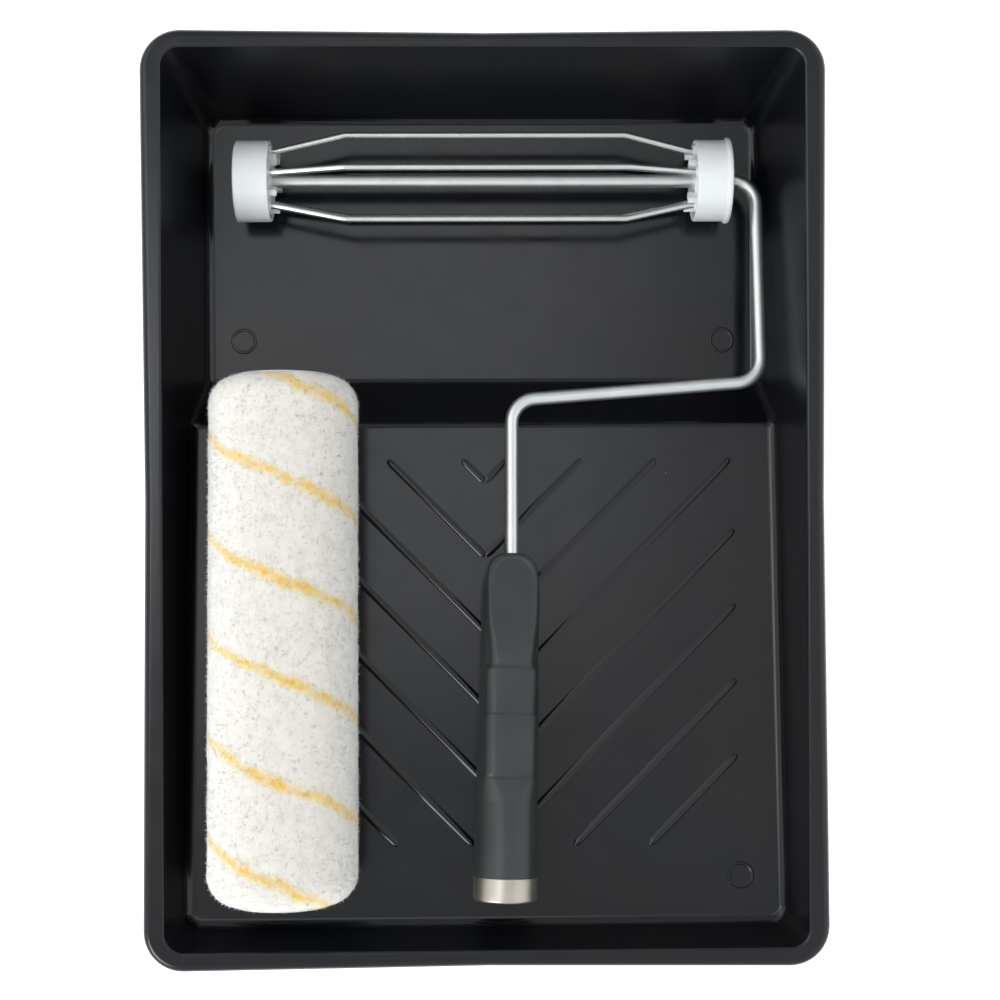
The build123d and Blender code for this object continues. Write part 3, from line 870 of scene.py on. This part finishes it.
class TRAYKIT_OT_handle(bpy.types.Operator):
    """Builds the moulded grip and the pressed ferrule on its end"""

    bl_idname = "tray_kit.handle"
    bl_label = "Handle"

    def execute(self, context):
        finished(grip_mesh("moulded_grip"), satin_grip(), "roller_frame", ["handle_grip"])
        plate = bright_plate("nickel_plate_on_pressed_steel", ("#bcb5ab", "#c9c2b8"), 1.5, (0.36, 0.44))
        end = place(GRIP_END + HANDLE_BACK * 0.8 * MM, HANDLE_BACK)
        outline = rounded([
            (13.05, -10.4, 0.1), (13.8, -10.4, 0.3), (13.8, 0, 1.2), (10.3, 0, 0.3), (10.3, -0.8, 0.3),
            (13.05, -0.8, 0.6),
        ])
        ferrule = lathe("pressed_ferrule", outline, [end], 160)
        # The press leaves its outside very slightly lobed
        for vertex in ferrule.data.vertices:
            out = vertex.co - end.translation
            out -= HANDLE_BACK * out.dot(HANDLE_BACK)
            if out.length > 13.3 * MM:
                angle = math.atan2(out.dot(FRAME_NORMAL), out.x)
                vertex.co -= out.normalized() * 0.03 * MM * (1 - math.cos(11 * angle))
        finished(ferrule, plate, "roller_frame", ["handle_ferrule"])
        return {"FINISHED"}


# ---- Sleeve ----

def pile_mesh(name, outer, inner, half_length, round_off):
    """The pile's base: a thick tube with rounded ends, in rings close enough for its outside to be raised."""
    reach = half_length - round_off
    arc = [(outer - round_off + round_off * math.cos(a), reach + round_off * math.sin(a))
           for a in (math.pi / 2 * i / 14 for i in range(15))]
    runs = int(2 * reach / 0.9)
    straight = [(outer, -reach + 2 * reach * i / runs) for i in range(1, runs)]
    low_arc = [(r, -h) for r, h in reversed(arc)]
    outline = [(inner, -half_length), *low_arc, *straight, *arc, (inner, half_length)]
    return lathe(name, outline, [SLEEVE], 224, 180)


def roughened(piece, name):
    """Raises and sinks the pile along its normals by clouds of two sizes."""
    for size, strength in ((9.0, 0.8), (2.4, 0.24)):
        texture = bpy.data.textures.new(f"clumps_{size}", "CLOUDS")
        texture.noise_scale = size * MM
        texture.noise_depth = 2
        modifier = piece.modifiers.new("clumps", "DISPLACE")
        modifier.texture = texture
        modifier.texture_coords = "LOCAL"
        modifier.strength = strength * MM
        modifier.mid_level = 0.5
    return applied(piece, name)


def tuft(name):
    """One tuft of fibre: a thin three-sided blade, bent over and drawn to a point."""
    vertices, faces = [], []
    for height, radius, lean in ((-0.2, 0.13, 0.0), (0.35, 0.09, 0.15)):
        for step in range(3):
            angle = 2 * math.pi * step / 3
            vertices.append(Vector((radius * math.cos(angle) + lean, radius * math.sin(angle), height)) * MM)
    vertices.append(Vector((0.7, 0, 1.0)) * MM)
    for step in range(3):
        following = (step + 1) % 3
        faces.append((step, following, following + 3, step + 3))
        faces.append((step + 3, following + 3, 6))
    faces.append((2, 1, 0))
    return mesh_object(name, vertices, faces)


def grown_tufts(surface, source, count, seed, material, name):
    """Geometry Nodes: tufts scattered over the pile, combed by a slow noise and ruffled at random."""
    tree, given = new_tree("combed_tufts", Density="Float", Seed="Int")
    spread = add_node(tree, "GeometryNodeDistributePointsOnFaces", {
        "Mesh": given["Geometry"], "Density": given["Density"], "Seed": given["Seed"],
    })
    shape = add_node(tree, "GeometryNodeObjectInfo", {"Object": source})
    clumps = add_node(tree, "ShaderNodeTexNoise", {"Scale": 1 / (5 * MM), "Detail": 1.0})
    centred = add_node(tree, "ShaderNodeVectorMath", {
        0: clumps.outputs["Color"], 1: (0.5, 0.5, 0.5),
    }, operation="SUBTRACT")
    combed = add_node(tree, "ShaderNodeVectorMath", {0: centred, "Scale": 4.5}, operation="SCALE")
    ruffle = add_node(tree, "FunctionNodeRandomValue", {
        "Min": (-0.6, -0.6, -math.pi), "Max": (0.6, 0.6, math.pi), "Seed": given["Seed"],
    }, data_type="FLOAT_VECTOR")
    lean = add_node(tree, "ShaderNodeVectorMath", {0: combed, 1: ruffle}, operation="ADD")
    turned = add_node(tree, "FunctionNodeRotateRotation", {
        0: spread.outputs["Rotation"], 1: lean,
    }, rotation_space="LOCAL")
    size = add_node(tree, "FunctionNodeRandomValue", {"Min": 0.65, "Max": 1.3}, data_type="FLOAT")
    copies = add_node(tree, "GeometryNodeInstanceOnPoints", {
        "Points": spread, "Instance": shape.outputs["Geometry"], "Rotation": turned, "Scale": size.outputs[1],
    })
    area = sum(polygon.area for polygon in surface.data.polygons)
    values = {"Density": count / area, "Seed": seed}
    return grown(new_object(name, surface.data.copy()), tree, copies, material, name, **values)


def brushed(mesh, outer, half_length, round_off):
    """Turns the fibres' shading normals to those of the pile as a whole, so that it reads as one soft nap."""
    back = SLEEVE.inverted()
    reach, ring = half_length - round_off, outer - round_off
    turn = SLEEVE.to_3x3()
    normals = []
    for vertex in mesh.vertices:
        spot = back @ vertex.co / MM
        away = max(math.hypot(spot.x, spot.y), 0.001)
        share = max(away - ring, 0.5) / away
        past = spot.z - max(-reach, min(reach, spot.z))
        normals.append(turn @ Vector((spot.x * share, spot.y * share, past)).normalized())
    mesh.shade_smooth()
    mesh.normals_split_custom_set_from_vertices(normals)


class TRAYKIT_OT_sleeve(bpy.types.Operator):
    """Builds the sleeve: its core tube, the pile's clumped body and the tufts that stand out of it"""

    bl_idname = "tray_kit.sleeve"
    bl_label = "Roller sleeve"

    def execute(self, context):
        kit = context.scene.tray_kit
        half = BORE["dims"]["length_mm"] / 2
        inner = BORE["dims"]["r_mm"]
        outer = inner + 1.5
        # The core ends a little inside the sleeve's nominal length, and the pile is trimmed shorter still
        end, reach = half - 2.6, half - 3.2
        wall = rounded([(inner, -end, 0.4), (outer, -end, 0.4), (outer, end, 0.4), (inner, end, 0.4)], 3)
        core = lathe("core_tube", wall, [SLEEVE], 128)
        finished(core, extruded_core(), "sleeve", ["sleeve_core"])
        fabric = knitted_pile(kit)
        radius, round_off = 31.7, 12.0
        body = roughened(pile_mesh("pile_body", radius, outer, reach, round_off), "pile_body")
        source = tuft("one_tuft")
        for layer, seed in enumerate((11, 23)):
            name = f"pile_tufts_{layer + 1}"
            fibres = grown_tufts(body, source, kit.pile_count, seed, fabric, name)
            brushed(fibres.data, radius, reach, round_off)
            finished(fibres, fabric, "sleeve")
        bpy.data.objects.remove(source)
        finished(body, fabric, "sleeve", ["sleeve_pile"])
        return {"FINISHED"}


# ---- Stage ----

def soft_room():
    """A white room, dimmer overhead but for two small panels, and brightest in front on the left."""
    world = bpy.data.worlds.new("soft_room")
    world.use_nodes = True
    tree = world.node_tree
    tree.nodes.clear()
    towards = add_node(tree, "ShaderNodeTexCoord").outputs["Generated"]
    strength = 0.8
    # Each patch: its direction, the angles in degrees where it is full and where it ends, and what it adds
    for axis, core, edge, amount in (
        ((0.0, 0.0, 1.0), 14, 34, -0.14),
        ((-0.03, 0.135, 1.0), 2, 10.5, 0.95),
        ((-0.54, -0.54, 0.64), 9, 19, 6.5),
        ((-0.36, 0.05, 1.0), 4, 13, 3.0),
        ((-1.0, 0.1, 0.45), 0, 60, 0.15),
        ((1.0, 0.1, 0.6), 0, 60, 0.4),
        ((0.2, 1.0, 0.8), 0, 45, -0.25),
    ):
        facing = add_node(tree, "ShaderNodeVectorMath", {
            0: towards, 1: Vector(axis).normalized(),
        }, operation="DOT_PRODUCT")
        patch = add_node(tree, "ShaderNodeMapRange", {
            "Value": facing.outputs["Value"],
            "From Min": math.cos(math.radians(edge)),
            "From Max": math.cos(math.radians(core)),
            "To Min": 0.0,
            "To Max": amount,
        }, interpolation_type="SMOOTHSTEP")
        strength = worked(tree, strength, ("ADD", patch))
    light = add_node(tree, "ShaderNodeBackground", {"Color": linear("#f6f9fb"), "Strength": strength})
    add_node(tree, "ShaderNodeOutputWorld", {"Surface": light})
    return world


def white_board():
    """Matt white board, evenly lit, so that it reads as a plain pale floor."""
    material, tree, where = new_material("matt_white_board")
    return shaded(material, {
        "Base Color": mottled(tree, [(0.3, "#f6f6f6"), (0.7, "#fbfbfb")], where, 200, 2),
        "Roughness": 0.9,
        "Specular IOR Level": 0.1,
        "Emission Strength": 0.55,
        "Emission Color": (1.0, 1.0, 1.0, 1.0),
    })


class TRAYKIT_OT_stage(bpy.types.Operator):
    """Sets the pale floor, the soft light and the camera"""

    bl_idname = "tray_kit.stage"
    bl_label = "Stage"

    def execute(self, context):
        scene = context.scene
        reach = 3.0
        corners = [(-reach, -reach, 0), (reach, -reach, 0), (reach, reach, 0), (-reach, reach, 0)]
        floor = mesh_object("floor", corners, [(0, 1, 2, 3)])
        floor.data.materials.append(white_board())
        scene.world = soft_room()
        lamp = bpy.data.lights.new("window", "AREA")
        lamp.size = 1.0
        lamp.energy = 2.0
        window = new_object("window", lamp)
        window.location = (-1.2, 0.7, 1.3)
        towards_set = Vector((0, 0, 0.05)) - window.location
        window.rotation_euler = towards_set.to_track_quat("-Z", "Y").to_euler()
        lens = bpy.data.cameras.new("camera")
        lens.sensor_width = 36.0
        lens.lens = 62.82
        lens.clip_start = 0.01
        camera = new_object("camera", lens)
        camera.location = (-8.6 * MM, -1.8 * MM, scene.tray_kit.camera_height)
        camera.rotation_euler = Euler([math.radians(a) for a in (0.11, -1.13, -0.29)])
        scene.camera = camera
        scene.view_settings.view_transform = "Standard"
        return {"FINISHED"}


class TRAYKIT_PT_panel(bpy.types.Panel):
    """Lists the pieces of the paint tray set"""

    bl_idname = "TRAYKIT_PT_panel"
    bl_label = "Paint Tray"
    bl_space_type = "VIEW_3D"
    bl_region_type = "UI"
    bl_category = "Paint Tray"

    def draw(self, context):
        kit = context.scene.tray_kit
        for name in TrayKit.__annotations__:
            self.layout.prop(kit, name)
        for operator in OPERATORS:
            self.layout.operator(operator.bl_idname)


OPERATORS = (
    TRAYKIT_OT_stage,
    TRAYKIT_OT_tray,
    TRAYKIT_OT_rod,
    TRAYKIT_OT_cage,
    TRAYKIT_OT_handle,
    TRAYKIT_OT_sleeve,
)
CLASSES = (TrayKit, *OPERATORS, TRAYKIT_PT_panel)


def register():
    for cls in CLASSES:
        bpy.utils.register_class(cls)
    bpy.types.Scene.tray_kit = PointerProperty(type=TrayKit)


def unregister():
    del bpy.types.Scene.tray_kit
    for cls in reversed(CLASSES):
        bpy.utils.unregister_class(cls)


def main():
    register()
    for operator in OPERATORS:
        group, name = operator.bl_idname.split(".")
        getattr(getattr(bpy.ops, group), name)()


if __name__ == "__main__":
    main()
